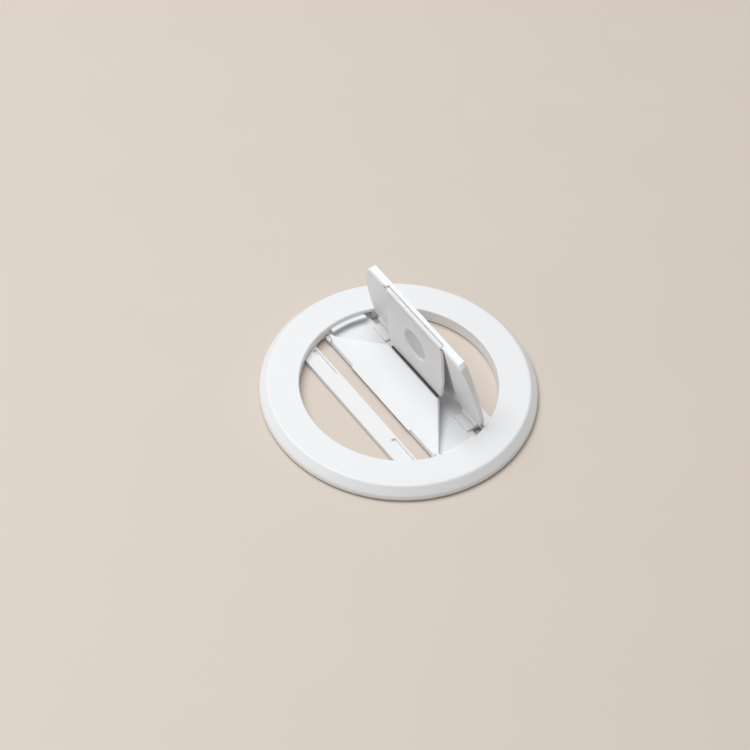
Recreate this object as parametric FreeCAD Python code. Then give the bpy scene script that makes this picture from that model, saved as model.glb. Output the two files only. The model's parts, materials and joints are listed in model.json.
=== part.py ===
import FreeCAD, Part
import math
import os

from FreeCAD import Vector

# Magnetic phone holder: a ring of magnets in a white moulding, with a flap that folds up from the ring's
# well and a two-plate folding stay in front of it. Millimetres; the origin is the centre of the face that
# lies on the phone, +Z points away from the phone and the hinges run along Y. Plates are drawn folded flat,
# then turned.

# Ring
ring_inner_r = 20.76
ring_band = 8.24
ring_height = 3.3
rim_run = 1.6
rim_height = 1.4
inner_edge_chamfer = 0.25
inner_wall = 1.44
outer_wall = 1.7
top_wall = 0.7
rim_lip = 0.7

# Base
pad_thickness = 0.4
pad_inset = 1.0
base_lift = 0.1
base_thickness = 0.5
base_fit = 0.1
floor_thickness = 0.5
bar_height = 1.2
well_left = -11.8
well_right = 11.5
rail_width = 3.95
gap_width = 4.15
rear_bar_width = 2.6
rail_step_width = 1.0
rail_step_depth = 0.5
rail_step_length = 8.0
ledge_width = 1.0
ledge_top = 2.3
ledge_left = -3.1
ledge_right = 5.2
core_hole_left = 7.1
core_hole_length = 1.6
core_hole_depth = 1.8
pocket_depth = 1.0
hinge_pocket_length = 1.9
hinge_pocket_top = 2.4
gap_pocket_margin = 0.6
gap_pocket_top = 1.5

# Magnets
magnet_count = 16
magnet_gap = 0.3
shield_thickness = 0.4
shield_side_gap = 0.3
shield_margin = 0.3

# Flap, drawn closed
hinge_x = 8.0
hinge_z = 2.15
flap_reach = 12.9
flap_top_gap = 0.05
flap_thickness = 1.9
flap_edge_gap = 0.2
flap_heel = 0.6
flap_bow_x = -1.5
flap_bow_gap = 1.45
flap_foot_gap = 0.85
flap_rim = 0.4
flap_bow_slope = 1.6
flap_foot_slope = 0.8
knuckle_r = 1.05
knuckle_wall_gap = 1.6
knuckle_length = 5.1
ear_panel_depth = 0.2
ear_lip = 1.6
pin_r = 0.45
pin_depth = 1.1
pin_grip = 3.0
running_gap = 0.05

# Upper stay, drawn closed in the flap's recess
stay_half_width = 9.55
stay_end_half_width = 8.9
stay_taper_length = 5.5
stay_thickness = 0.8
stay_side_gap = 0.2
stay_back_gap = 0.1
recess_depth = 1.0
recess_flare = 1.7
recess_flare_depth = 0.55
stay_pivot_inset = 0.9
stay_barrel_r = 0.6
stay_pin_r = 0.3
stay_pin_grip = 1.8
dish_distance = 8.5
dish_r = 3.8
dish_depth = 0.4
knee_x = 4.75

# Lower stay, drawn closed on the floor
lower_pivot_x = -4.35
lower_pivot_z = 1.0
lower_thickness = 0.6
lower_floor_gap = 0.05
lower_left = -4.75
lower_slope_width = 0.55
lower_slope_length = 8.0
lower_edge = 0.1
lower_wall_gap = 0.5
lower_ear_length = 1.5
lower_ear_r = 0.5
lower_ear_width = 1.5
lower_pin_r = 0.3
lower_shoulder_inset = 0.3
knee_gap = 0.7
knee_strip_thickness = 0.2
knee_strip_lap = 1.5
knee_strip_reach = 0.75

# Pose
flap_open_deg = 76.0


def wall_y(x):
    """Half width of the well at x, where the ring's inner wall stands."""
    return math.sqrt(ring_inner_r ** 2 - x ** 2)


# Sizes that follow from those above
ring_outer_r = ring_inner_r + ring_band
ring_flat_r = ring_outer_r - rim_run
base_top = base_lift + base_thickness
carrier_top = pad_thickness + base_thickness
channel_inner_r = ring_inner_r + inner_wall
channel_outer_r = ring_outer_r - outer_wall
channel_top = ring_height - top_wall
base_outer_r = ring_outer_r - rim_lip - base_fit
floor_top = base_lift + floor_thickness
rail_right = well_left + rail_width
gap_pocket_left = rail_right + gap_pocket_margin
gap_pocket_right = lower_left - gap_pocket_margin
flap_top = ring_height - flap_top_gap
flap_bottom = flap_top - flap_thickness
flap_foot = hinge_x - flap_heel
flap_corner_y = math.sqrt((ring_inner_r - flap_edge_gap) ** 2 - flap_reach ** 2)
flap_bow_y = wall_y(flap_bow_x) - flap_bow_gap
flap_foot_y = wall_y(flap_foot) - flap_foot_gap
knuckle_outer = wall_y(hinge_x) - knuckle_wall_gap
knuckle_inner = knuckle_outer - knuckle_length
recess_top = flap_bottom + recess_depth
stay_top = recess_top - stay_back_gap
stay_bottom = stay_top - stay_thickness
stay_pivot_x = stay_pivot_inset - flap_reach
stay_pivot_z = (stay_top + stay_bottom) / 2
recess_half_width = stay_half_width + stay_side_gap
lower_bottom = floor_top + lower_floor_gap
lower_top = lower_bottom + lower_thickness
knee_z = (stay_bottom + lower_top) / 2
lower_ear_end = wall_y(lower_pivot_x) - lower_wall_gap
lower_side = lower_ear_end - lower_ear_length
lower_slope_start = lower_side - lower_slope_length
shield_inner_r = channel_inner_r + shield_side_gap
shield_outer_r = channel_outer_r - shield_side_gap
above = ring_height
far_out = 2 * ring_outer_r

os.makedirs("parts", exist_ok=True)


def box(x0, x1, y0, y1, z0, z1):
    return Part.makeBox(x1 - x0, y1 - y0, z1 - z0, Vector(x0, y0, z0))


def disc(radius, z0, z1):
    return Part.makeCylinder(radius, z1 - z0, Vector(0, 0, z0))


def rod(radius, y0, y1, x, z):
    return Part.makeCylinder(radius, y1 - y0, Vector(x, y0, z), Vector(0, 1, 0))


def plate(points, z0, z1):
    corners = [Vector(x, y, z0) for x, y in points]
    face = Part.Face(Part.makePolygon(corners + corners[:1]))
    return face.extrude(Vector(0, 0, z1 - z0))


def turned(points):
    corners = [Vector(r, 0, z) for r, z in points]
    face = Part.Face(Part.makePolygon(corners + corners[:1]))
    return face.revolve(Vector(0, 0, 0), Vector(0, 0, 1), 360)


def flipped(shape):
    return shape.mirror(Vector(0, 0, 0), Vector(0, 1, 0))


def both_sides(shape):
    return [shape, flipped(shape)]


def turn(shape, pivot, degrees):
    """Turn about a hinge line along +Y; a positive turn lifts what points to -X."""
    moved = shape.copy()
    moved.rotate(Vector(pivot[0], 0, pivot[1]), Vector(0, 1, 0), degrees)
    return moved


def turn_point(point, pivot, degrees):
    angle = math.radians(degrees)
    dx = point[0] - pivot[0]
    dz = point[1] - pivot[1]
    x = pivot[0] + dx * math.cos(angle) + dz * math.sin(angle)
    z = pivot[1] - dx * math.sin(angle) + dz * math.cos(angle)
    return x, z


def heading(start, end):
    return math.degrees(math.atan2(end[1] - start[1], end[0] - start[0]))


def save(name, shape):
    solid = shape.removeSplitter()
    if len(solid.Solids) != 1 or not solid.isValid():
        raise ValueError(name + " isn't one valid solid")
    solid.Solids[0].exportStep("parts/" + name + ".step")


def wall_pocket(left, right, z0, z1):
    """Room for a pocket in the ring's inner wall."""
    return box(left, right, 0, far_out, z0, z1).common(disc(ring_inner_r + pocket_depth, z0, z1))


def make_top_ring():
    chamfer = inner_edge_chamfer
    ring = turned([
        (ring_inner_r, base_top),
        (channel_inner_r, base_top),
        (channel_inner_r, channel_top),
        (channel_outer_r, channel_top),
        (channel_outer_r, carrier_top),
        (ring_outer_r - rim_lip, carrier_top),
        (ring_outer_r - rim_lip, pad_thickness),
        (ring_outer_r, pad_thickness),
        (ring_outer_r, rim_height),
        (ring_flat_r, ring_height),
        (ring_inner_r + chamfer, ring_height),
        (ring_inner_r, ring_height - chamfer),
    ])
    ledge = disc(ring_inner_r + inner_wall / 2, base_top, ledge_top)
    ledge = ledge.cut(disc(ring_inner_r - ledge_width, 0, above))
    ledge = ledge.common(box(ledge_left, ledge_right, 0, far_out, 0, above))
    ring = ring.fuse(both_sides(ledge))
    flap_end = wall_y(hinge_x) + pin_depth + running_gap
    lower_end = wall_y(lower_pivot_x) + pin_depth + running_gap
    flap_bore = rod(pin_r + running_gap, 0, flap_end, hinge_x, hinge_z)
    lower_bore = rod(lower_pin_r + running_gap, 0, lower_end, lower_pivot_x, lower_pivot_z)
    hinge_pocket = wall_pocket(ledge_right, ledge_right + hinge_pocket_length, 0, hinge_pocket_top)
    gap_pocket = wall_pocket(gap_pocket_left, gap_pocket_right, 0, gap_pocket_top)
    ring = ring.cut(both_sides(hinge_pocket) + both_sides(gap_pocket))
    return ring.cut(both_sides(flap_bore) + both_sides(lower_bore))


def make_base_plate():
    step_r = channel_inner_r + base_fit
    carrier = turned([
        (ring_inner_r, base_lift),
        (step_r, base_lift),
        (step_r, pad_thickness),
        (base_outer_r, pad_thickness),
        (base_outer_r, carrier_top),
        (step_r, carrier_top),
        (step_r, base_top),
        (ring_inner_r, base_top),
    ])
    bar_left = well_right - rear_bar_width
    low = box(rail_right + gap_width, well_right, -far_out, far_out, base_lift, floor_top)
    low = low.fuse(box(well_left, rail_right, -far_out, far_out, base_lift, floor_top))
    low = low.common(disc(ring_inner_r + inner_wall / 2, 0, above))
    high = box(well_left, rail_right, -far_out, far_out, floor_top, bar_height)
    high = high.fuse(box(bar_left, well_right, -far_out, far_out, floor_top, bar_height))
    high = high.common(disc(ring_inner_r - base_fit, 0, above))
    plate_shape = carrier.fuse([low, high])
    step_end = lower_slope_start + rail_step_length
    step_z = bar_height - rail_step_depth
    step = box(rail_right - rail_step_width, rail_right, lower_slope_start, step_end, step_z, bar_height)
    core_right = core_hole_left + core_hole_length
    core_y = wall_y(core_right) - core_hole_depth
    core = box(core_hole_left, core_right, core_y, far_out, 0, floor_top)
    core = core.common(disc(ring_inner_r, 0, above))
    pocket = wall_pocket(gap_pocket_left, gap_pocket_right, 0, base_top)
    return plate_shape.cut(both_sides(step) + both_sides(core) + both_sides(pocket))


def make_base_pad():
    inner_r = channel_inner_r + base_fit + pad_inset / 2
    return disc(ring_outer_r - pad_inset, 0, pad_thickness).cut(disc(inner_r, 0, pad_thickness))


def make_shield_ring():
    bottom = channel_top - shield_thickness
    return disc(shield_outer_r, bottom, channel_top).cut(disc(shield_inner_r, bottom, channel_top))


def make_magnet(index):
    """One arc of the magnet ring, with parallel-sided gaps between neighbours."""
    top = channel_top - shield_thickness
    arc = disc(shield_outer_r - shield_margin, carrier_top, top)
    arc = arc.cut(disc(shield_inner_r + shield_margin, carrier_top, top))
    half_angle = 180.0 / magnet_count
    keep = box(0, far_out, magnet_gap / 2, far_out, carrier_top, top)
    keep.rotate(Vector(0, 0, 0), Vector(0, 0, 1), -half_angle)
    other = flipped(keep)
    arc = arc.common(keep).common(other)
    arc.rotate(Vector(0, 0, 0), Vector(0, 0, 1), (2 * index + 1) * half_angle)
    return arc


def flap_outline(bow_y, foot_y, z):
    """The flap's plan at one height: a straight free edge and foot, and bowed ends."""
    points = [(-flap_reach, flap_corner_y), (flap_bow_x, bow_y), (flap_foot, foot_y)]
    left = [Vector(x, y, z) for x, y in points]
    right = [Vector(x, -y, z) for x, y in points]
    return Part.Wire([
        Part.Arc(*left).toShape(),
        Part.makeLine(left[2], right[2]),
        Part.Arc(*reversed(right)).toShape(),
        Part.makeLine(right[0], left[0]),
    ])


def make_flap():
    rim_z = flap_bottom + flap_rim
    rim = Part.Face(flap_outline(flap_bow_y, flap_foot_y, flap_bottom)).extrude(Vector(0, 0, flap_rim))
    back = flap_outline(flap_bow_y - flap_bow_slope, flap_foot_y - flap_foot_slope, flap_top)
    body = rim.fuse(Part.makeLoft([flap_outline(flap_bow_y, flap_foot_y, rim_z), back], True, True))
    knuckle = rod(knuckle_r, knuckle_inner, knuckle_outer, hinge_x, hinge_z)
    body = body.fuse(both_sides(knuckle))
    flare_z = flap_bottom + recess_flare_depth
    wide = recess_half_width + recess_flare
    section = [
        Vector(-far_out, -wide, flap_bottom),
        Vector(-far_out, -recess_half_width, flare_z),
        Vector(-far_out, -recess_half_width, recess_top),
        Vector(-far_out, recess_half_width, recess_top),
        Vector(-far_out, recess_half_width, flare_z),
        Vector(-far_out, wide, flap_bottom),
    ]
    recess_face = Part.Face(Part.makePolygon(section + section[:1]))
    recess = recess_face.extrude(Vector(far_out + knee_x + knee_gap, 0, 0))
    seat_r = stay_barrel_r + stay_back_gap
    seat = rod(seat_r, -recess_half_width, recess_half_width, stay_pivot_x, stay_pivot_z)
    pin_end = recess_half_width + stay_pin_grip
    stay_hole = rod(stay_pin_r, 0, pin_end, stay_pivot_x, stay_pivot_z)
    pin_hole = rod(pin_r, knuckle_outer - pin_grip, far_out, hinge_x, hinge_z)
    panel_z = flap_bottom + ear_panel_depth
    panel_y = wide - recess_flare * ear_panel_depth / recess_flare_depth
    panel = box(ear_lip - flap_reach, flap_foot, panel_y, far_out, 0, panel_z)
    cuts = [recess, seat] + both_sides(stay_hole) + both_sides(pin_hole) + both_sides(panel)
    return body.cut(cuts)


def make_flap_pin():
    return rod(pin_r, knuckle_outer - pin_grip, wall_y(hinge_x) + pin_depth, hinge_x, hinge_z)


def make_stay_upper():
    taper_x = knee_x - stay_taper_length
    half = [
        (stay_pivot_x, stay_half_width),
        (taper_x, stay_half_width),
        (knee_x, stay_end_half_width),
    ]
    points = half + [(x, -y) for x, y in reversed(half)]
    stay = plate(points, stay_bottom, stay_top)
    stay = stay.fuse(rod(stay_barrel_r, -stay_half_width, stay_half_width, stay_pivot_x, stay_pivot_z))
    ball_r = (dish_r ** 2 + dish_depth ** 2) / (2 * dish_depth)
    ball_z = stay_bottom + dish_depth - ball_r
    ball = Part.makeSphere(ball_r, Vector(stay_pivot_x + dish_distance, 0, ball_z))
    hole_end = stay_half_width - stay_pin_grip - running_gap
    hole = rod(stay_pin_r + running_gap, hole_end, far_out, stay_pivot_x, stay_pivot_z)
    return stay.cut([ball] + both_sides(hole))


def make_upper_pin():
    inner = stay_half_width - stay_pin_grip
    return rod(stay_pin_r, inner, recess_half_width + stay_pin_grip, stay_pivot_x, stay_pivot_z)


def make_stay_lower():
    ear_left = lower_pivot_x - lower_ear_r
    ear_right = ear_left + lower_ear_width
    shoulder_x = ear_right + lower_shoulder_inset
    end_x = knee_x - knee_gap
    half = [
        (lower_left, 0),
        (lower_left, lower_side),
        (lower_pivot_x, lower_side),
        (lower_pivot_x, lower_ear_end),
        (ear_right, lower_ear_end),
        (shoulder_x, lower_side + lower_shoulder_inset),
        (end_x, stay_end_half_width),
        (end_x, 0),
    ]
    side = plate(half, lower_bottom, lower_top)
    ear = rod(lower_ear_r, lower_side, lower_ear_end, lower_pivot_x, lower_pivot_z)
    stay = side.fuse([flipped(side)] + both_sides(ear))
    hole = rod(lower_pin_r, lower_side, far_out, lower_pivot_x, lower_pivot_z)
    section = [
        Vector(lower_left, lower_slope_start, lower_bottom + lower_edge),
        Vector(lower_left, lower_slope_start, lower_top),
        Vector(lower_left + lower_slope_width, lower_slope_start, lower_top),
    ]
    wedge = Part.Face(Part.makePolygon(section + section[:1])).extrude(Vector(0, lower_slope_length, 0))
    return stay.cut(both_sides(hole) + both_sides(wedge) + [make_knee_strip()])


def make_lower_pin():
    end = wall_y(lower_pivot_x) + pin_depth
    return rod(lower_pin_r, lower_side, end, lower_pivot_x, lower_pivot_z)


def make_knee_strip():
    end_x = knee_x - knee_gap
    half_width = stay_end_half_width - knee_gap
    top = lower_bottom + knee_strip_thickness
    return box(end_x - knee_strip_lap, end_x + knee_strip_reach, -half_width, half_width, lower_bottom, top)


# The folding stay: the knee is where circles about the two outer pivots meet
flap_pivot = (hinge_x, hinge_z)
upper_pivot = (stay_pivot_x, stay_pivot_z)
lower_pivot = (lower_pivot_x, lower_pivot_z)
knee = (knee_x, knee_z)
upper_length = math.dist(upper_pivot, knee)
lower_length = math.dist(lower_pivot, knee)
raised_pivot = turn_point(upper_pivot, flap_pivot, flap_open_deg)
span = math.dist(lower_pivot, raised_pivot)
cosine = (lower_length ** 2 + span ** 2 - upper_length ** 2) / (2 * lower_length * span)
lower_heading = heading(lower_pivot, raised_pivot) - math.degrees(math.acos(cosine))
lower_lift = lower_heading - heading(lower_pivot, knee)
raised_knee = (
    lower_pivot_x + lower_length * math.cos(math.radians(lower_heading)),
    lower_pivot_z + lower_length * math.sin(math.radians(lower_heading)),
)
upper_turn = heading(upper_pivot, knee) - heading(raised_pivot, raised_knee)
upper_swing = upper_turn - flap_open_deg


def with_flap(shape):
    return turn(shape, flap_pivot, flap_open_deg)


def with_lower(shape):
    return turn(shape, lower_pivot, -lower_lift)


save("top_ring", make_top_ring())
save("base_plate", make_base_plate())
save("base_pad", make_base_pad())
save("shield_ring", make_shield_ring())
for index in range(magnet_count):
    save(f"magnet_{index + 1:02d}", make_magnet(index))
save("flap", with_flap(make_flap()))
save("stay_upper", with_flap(turn(make_stay_upper(), upper_pivot, upper_swing)))
save("stay_lower", with_lower(make_stay_lower()))
save("knee_strip", with_lower(make_knee_strip()))
for side, mirror in ((1, lambda shape: shape), (2, flipped)):
    save(f"flap_pin_{side}", with_flap(mirror(make_flap_pin())))
    save(f"upper_pin_{side}", with_flap(mirror(make_upper_pin())))
    save(f"lower_pin_{side}", with_lower(mirror(make_lower_pin())))

print("upper stay swing", round(upper_swing, 4), "lower stay lift", round(lower_lift, 4))
print("raised upper pivot", raised_pivot, "raised knee", raised_knee)
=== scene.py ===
import json
import math

import bmesh
import bpy
from bpy.props import FloatProperty, FloatVectorProperty, IntProperty, PointerProperty
from mathutils import Matrix, Vector


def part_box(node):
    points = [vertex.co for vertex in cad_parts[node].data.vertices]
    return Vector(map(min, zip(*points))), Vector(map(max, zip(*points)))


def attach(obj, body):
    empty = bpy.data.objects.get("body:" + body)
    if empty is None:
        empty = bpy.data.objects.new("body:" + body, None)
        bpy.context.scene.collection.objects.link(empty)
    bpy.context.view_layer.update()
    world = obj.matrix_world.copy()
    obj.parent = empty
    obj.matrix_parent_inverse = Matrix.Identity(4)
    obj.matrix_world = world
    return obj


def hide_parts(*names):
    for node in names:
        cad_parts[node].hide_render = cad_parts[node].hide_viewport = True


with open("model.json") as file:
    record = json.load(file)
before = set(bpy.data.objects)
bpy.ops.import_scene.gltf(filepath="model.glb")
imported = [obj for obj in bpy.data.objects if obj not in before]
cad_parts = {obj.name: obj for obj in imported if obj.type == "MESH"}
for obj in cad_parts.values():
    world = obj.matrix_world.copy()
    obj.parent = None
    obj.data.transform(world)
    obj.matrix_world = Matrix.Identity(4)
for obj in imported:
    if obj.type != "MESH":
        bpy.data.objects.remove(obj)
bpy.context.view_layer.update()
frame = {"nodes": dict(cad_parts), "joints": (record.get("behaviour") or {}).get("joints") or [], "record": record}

bl_info = {
    "name": "Magnetic phone holder",
    "version": (1, 0, 0),
    "blender": (4, 5, 0),
    "location": "View3D > Sidebar > Holder",
    "description": "Builds the mouldings of a folding magnetic phone holder round its packed frame",
    "category": "Object",
}

MM = 0.001
RECORD = frame["record"]
JOINTS = {joint["name"]: joint for joint in frame["joints"]}
RATIOS = {pair["joint"]: pair["ratio"] for pair in RECORD["behaviour"]["couplings"]}
COLOURS = {finish["slot"]: tuple(finish["base_color"][:3]) for finish in RECORD["materials"]}

# Hinge lines at rest, and how far the flap is turned there from folded flat
HINGE = Vector(JOINTS["flap_hinge"]["pos_m"])
RAISED_PIVOT = Vector(JOINTS["upper_hinge"]["pos_m"])
LOWER_PIVOT = Vector(JOINTS["lower_hinge"]["pos_m"])
OPEN_ANGLE = -math.radians(JOINTS["flap_hinge"]["range_deg"][0])

PAD_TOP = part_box("base_pad")[1].z
RING_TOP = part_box("top_ring")[1].z
# The nearest of the ring's four sides, so that the lathed shell stays inside the solid's box
RING_OUTER = min(*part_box("top_ring")[1].xy, *(-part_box("top_ring")[0]).xy)

# Ends of the hinge lines, and the sign of y there
SIDES = {"front": -1, "back": 1}

# How near two places have to be to count as one: in a cut, on a line, as doubles and on a round wall
CUT_NEAR = 0.0001 * MM
LINE_NEAR = 0.001 * MM
MERGE_NEAR = 0.002 * MM
WALL_NEAR = 0.05 * MM

# Pockets in a wall: the width of their steep sides, and how far round them the wall is cut
SLIVER = 0.02 * MM
POCKET_MARGIN = 2.0 * MM

# Angles between two faces: still flat, a shallow corner, a corner, a shaded crease and a rod's end
FLAT_ANGLE = math.radians(0.5)
SHALLOW_ANGLE = math.radians(20)
CORNER_ANGLE = math.radians(30)
CREASE_ANGLE = math.radians(50)
ROD_END_ANGLE = math.radians(60)

# Facets of a rod, of the dish, along a ledge and along the flap's bowed ends
ROD_STEPS = 40
DISH_STEPS = 72
LEDGE_STEPS = 60
BOW_STEPS = 24

# Half of the arc that a ledge is cut from
LEDGE_SWEEP = math.radians(30)

# The dish's side, from its edge inwards, as shares of its radius and of its depth
DISH_LEVELS = ((0.985, 0.12), (0.955, 0.5), (0.92, 0.8), (0.87, 0.94), (0.8, 1.0), (0.4, 1.0))

# Sockets of the Mix node's colours, which share their names with others
MIX_FACTOR, MIX_FIRST, MIX_SECOND, MIX_RESULT = 0, 6, 7, 2

# Shader values: the middle of a noise, and the refraction of the moulded plastic
NOISE_MIDDLE = 0.5
PLASTIC_IOR = 1.49


def turned(pivot, angle):
    """The matrix of a turn about a hinge line along Y."""
    away = Matrix.Translation(-pivot)
    return Matrix.Translation(pivot) @ Matrix.Rotation(angle, 4, "Y") @ away


FLAP_PLACE = turned(HINGE, OPEN_ANGLE)
FLAT_PIVOT = FLAP_PLACE.inverted() @ RAISED_PIVOT
UPPER_PLACE = FLAP_PLACE @ turned(FLAT_PIVOT, OPEN_ANGLE * RATIOS["upper_hinge"])
LOWER_PLACE = turned(LOWER_PIVOT, -OPEN_ANGLE * RATIOS["lower_hinge"])


def length(name, description, millimetres):
    """A property that holds a length, given here in millimetres."""
    return FloatProperty(
        name=name, description=description, default=millimetres * MM, unit="LENGTH", precision=5
    )


def bearing(name, description, degrees):
    """A property that holds an angle, given here in degrees."""
    return FloatProperty(
        name=name, description=description, default=math.radians(degrees), subtype="ANGLE"
    )


def spot(name, description, *millimetres):
    """A property that holds a place, given here in millimetres."""
    return FloatVectorProperty(
        name=name, description=description, default=tuple(part * MM for part in millimetres), size=3,
        subtype="XYZ", unit="LENGTH",
    )


def power(name, description, watts):
    """A property that holds a lamp's power."""
    return FloatProperty(name=name, description=description, default=watts, min=0, unit="POWER")


def lens_size(name, description, millimetres):
    """A property that holds a size of the camera, which Blender keeps in millimetres."""
    return FloatProperty(name=name, description=description, default=millimetres, min=1, unit="CAMERA")


def colour(name, description, value):
    """A property that holds a colour."""
    return FloatVectorProperty(
        name=name, description=description, default=value, size=3, min=0, max=1, subtype="COLOR"
    )


class RingSizes(bpy.types.PropertyGroup):
    """The ring and what stands on its inner wall."""

    well: length("Well", "Radius of the ring's inner wall", 20.76)
    flat: length("Flat", "Radius of the flat top's outer edge", 27.4)
    rim: length("Rim", "Height where the slope meets the outer wall", 1.4)
    inner_edge: length("Inner edge", "Rounding of the top's inner edge", 0.3)
    inner_wall: length("Inner wall", "Thickness of the wall round the well", 1.44)
    outer_wall: length("Outer wall", "Thickness of the wall outside the magnets", 1.7)
    top_wall: length("Top wall", "Thickness of the top over the magnets", 0.7)
    rim_lip: length("Rim lip", "Width of the lip outside the base", 0.7)
    crown_round: length("Crown", "Rounding between the flat top and the slope", 0.35)
    rim_round: length("Rim rounding", "Rounding between the slope and the outer wall", 0.4)
    foot_round: length("Foot", "Rounding of the outer wall's lower edge", 0.2)
    ledge_width: length("Ledge width", "Width of the ledges on the inner wall", 1.0)
    ledge_top: length("Ledge top", "Height of the ledges", 2.3)
    ledge_thickness: length("Ledge thickness", "Thickness of the ledges", 0.55)
    ledge_round: length("Ledge rounding", "Rounding of the ledges' edges", 0.2)
    ledge_left: length("Ledge left", "Where the ledge starts", -3.1)
    ledge_right: length("Ledge right", "Where the ledge ends, by the flap's hinge", 5.2)
    pocket_depth: length("Pocket depth", "Depth of the pockets in the inner wall", 1.35)
    hinge_pocket: length("Hinge pocket", "Length of the pockets by the flap's hinge", 1.9)
    hinge_pocket_top: length("Hinge pocket top", "Height of the pockets by the flap's hinge", 2.4)
    gap_pocket_left: length("Gap pocket left", "Where the pockets by the slot start", -7.25)
    gap_pocket_right: length("Gap pocket right", "Where the pockets by the slot end", -5.35)
    gap_pocket_top: length("Gap pocket top", "Height of the pockets by the slot", 0.95)
    steps: IntProperty(name="Steps", description="Facets round the ring", default=240, min=48)


class BaseSizes(bpy.types.PropertyGroup):
    """The base under the ring, with the bars across the well."""

    lift: length("Lift", "Gap under the base and its bars", 0.35)
    floor_top: length("Floor", "Height of the well's floor", 0.6)
    bar_top: length("Bars", "Height of the bars across the well", 1.2)
    fit: length("Fit", "Clearance between the base and the ring", 0.1)
    thickness: length("Base", "Thickness of the ring-shaped carrier", 0.5)
    left: length("Left", "Left side of the front rail", -11.8)
    right: length("Right", "Right side of the rear bar", 11.5)
    rail_width: length("Rail", "Width of the front rail", 3.95)
    gap_width: length("Gap", "Width of the slot between rail and floor", 4.15)
    rear_width: length("Rear bar", "Width of the rear bar", 2.6)
    groove_width: length("Groove width", "Width of the grooves at the rail's ends", 1.0)
    groove_depth: length("Groove depth", "Depth of those grooves", 0.6)
    groove_start: length("Groove start", "Distance from the middle to a groove", 10.3)
    groove_length: length("Groove length", "Length of a groove", 8.0)
    fence: length("Fence", "Width of the fence between a groove and the slot", 0.45)
    hole_left: length("Hole left", "Where the holes under the flap's pins start", 6.5)
    hole_length: length("Hole length", "Length of those holes", 2.2)
    hole_depth: length("Hole depth", "How far those holes reach in from the wall", 1.8)
    lug_left: length("Lug left", "Left side of the lugs in front of the hinge knuckles", 5.3)
    lug_right: length("Lug right", "Right side of those lugs", 7.55)
    lug_inner: length("Lug start", "Distance from the middle to a lug", 12.2)
    lug_outer: length("Lug end", "Distance from the middle to a lug's far end", 17.0)
    lug_top: length("Lug top", "Height of the lugs", 1.22)
    lug_round: length("Lug rounding", "Rounding of the lugs' edges", 0.2)
    edge: length("Edge", "Rounding of the bars' edges", 0.12)


class FlapSizes(bpy.types.PropertyGroup):
    """The flap, drawn folded flat."""

    reach: length("Reach", "Distance from the middle to the free edge", 12.9)
    top_gap: length("Top gap", "How far the folded flap lies below the ring's top", 0.05)
    thickness: length("Thickness", "Thickness of the flap", 1.9)
    edge_gap: length("Edge gap", "Gap between the flap's corners and the ring", 0.2)
    heel: length("Heel", "Distance from the hinge to the flap's foot", 0.6)
    bow: length("Bow", "Where the bowed ends stand out furthest", -1.5)
    bow_gap: length("Bow gap", "Gap between the bowed ends and the ring", 1.45)
    foot_gap: length("Foot gap", "Gap between the foot's ends and the ring", 0.85)
    rim: length("Rim", "Thickness of the ends' outer edges", 0.4)
    bow_slope: length("Bow slope", "How far the ends slope in towards the back", 1.6)
    foot_slope: length("Foot slope", "How far the foot's ends slope in towards the back", 0.8)
    edge: length("Edge", "Rounding of the flap's edges", 0.16)
    recess_half: length("Recess", "Half the width of the recess for the stay", 9.75)
    recess_depth: length("Recess depth", "Depth of the recess for the stay", 1.0)
    flare: length("Flare", "Width of the slope beside the recess", 1.7)
    flare_depth: length("Flare depth", "Height of the slope beside the recess", 0.55)
    lip: length("Lip", "Height of the lip along the free edge", 1.35)
    lip_depth: length("Lip depth", "How far the lip stands out", 0.2)
    lip_round: length("Lip rounding", "Rounding of the lip's front edge", 0.8)
    corner_cut: length("Corner cut", "How far the free edge's corners are cut back", 0.45)
    knuckle: length("Knuckle", "Radius of the hinge knuckles", 1.05)
    knuckle_gap: length("Knuckle gap", "Gap between a knuckle and the ring", 1.6)
    knuckle_length: length("Knuckle length", "Length of a knuckle", 5.1)


class StaySizes(bpy.types.PropertyGroup):
    """The two plates of the stay, drawn folded flat."""

    upper_half: length("Upper half width", "Half the width of the upper plate", 9.55)
    knee_half: length("Knee half width", "Half the width of both plates at the knee", 8.9)
    taper: length("Taper", "Length over which the upper plate narrows", 5.5)
    upper_thickness: length("Upper plate", "Thickness of the upper plate", 0.8)
    barrel: length("Barrel", "Radius of the upper plate's hinge barrel", 0.6)
    knee: length("Knee", "Where the folded knee lies", 4.75)
    knee_gap: length("Knee gap", "Gap between the lower plate and the knee", 0.7)
    dish_distance: length("Dish distance", "Distance from the upper hinge to the dish", 8.5)
    dish: length("Dish", "Radius of the finger dish", 3.8)
    dish_depth: length("Dish depth", "Depth of the finger dish", 0.65)
    lower_left: length("Lower left", "Left edge of the lower plate", -4.75)
    lower_thickness: length("Lower plate", "Thickness of the lower plate", 0.6)
    lower_lift: length("Lower lift", "Gap between the lower plate and the floor", 0.05)
    knee_slope: length("Knee slope", "How far its knee end slopes out towards the underside", 0.4)
    slope_width: length("Slope width", "Width of the slopes along its left edge", 0.55)
    slope_start: length("Slope start", "Distance from the middle to a slope", 10.3)
    side: length("Side", "Distance from the middle to a slope's far end", 18.3)
    ear_end: length("Ear end", "Distance from the middle to an ear's end", 19.8)
    ear: length("Ear", "Radius of the lower plate's ears", 0.5)
    ear_width: length("Ear width", "Width of the lower plate's ears", 1.5)
    shoulder: length("Shoulder", "Slope between an ear and the slanted end", 0.3)
    strip: length("Strip", "Thickness of the knee strip", 0.2)
    strip_lap: length("Strip lap", "How far the strip lies under the lower plate", 1.5)
    strip_reach: length("Strip reach", "How far the strip stands out into the knee", 0.75)
    edge: length("Edge", "Rounding of the plates' edges", 0.1)


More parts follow.
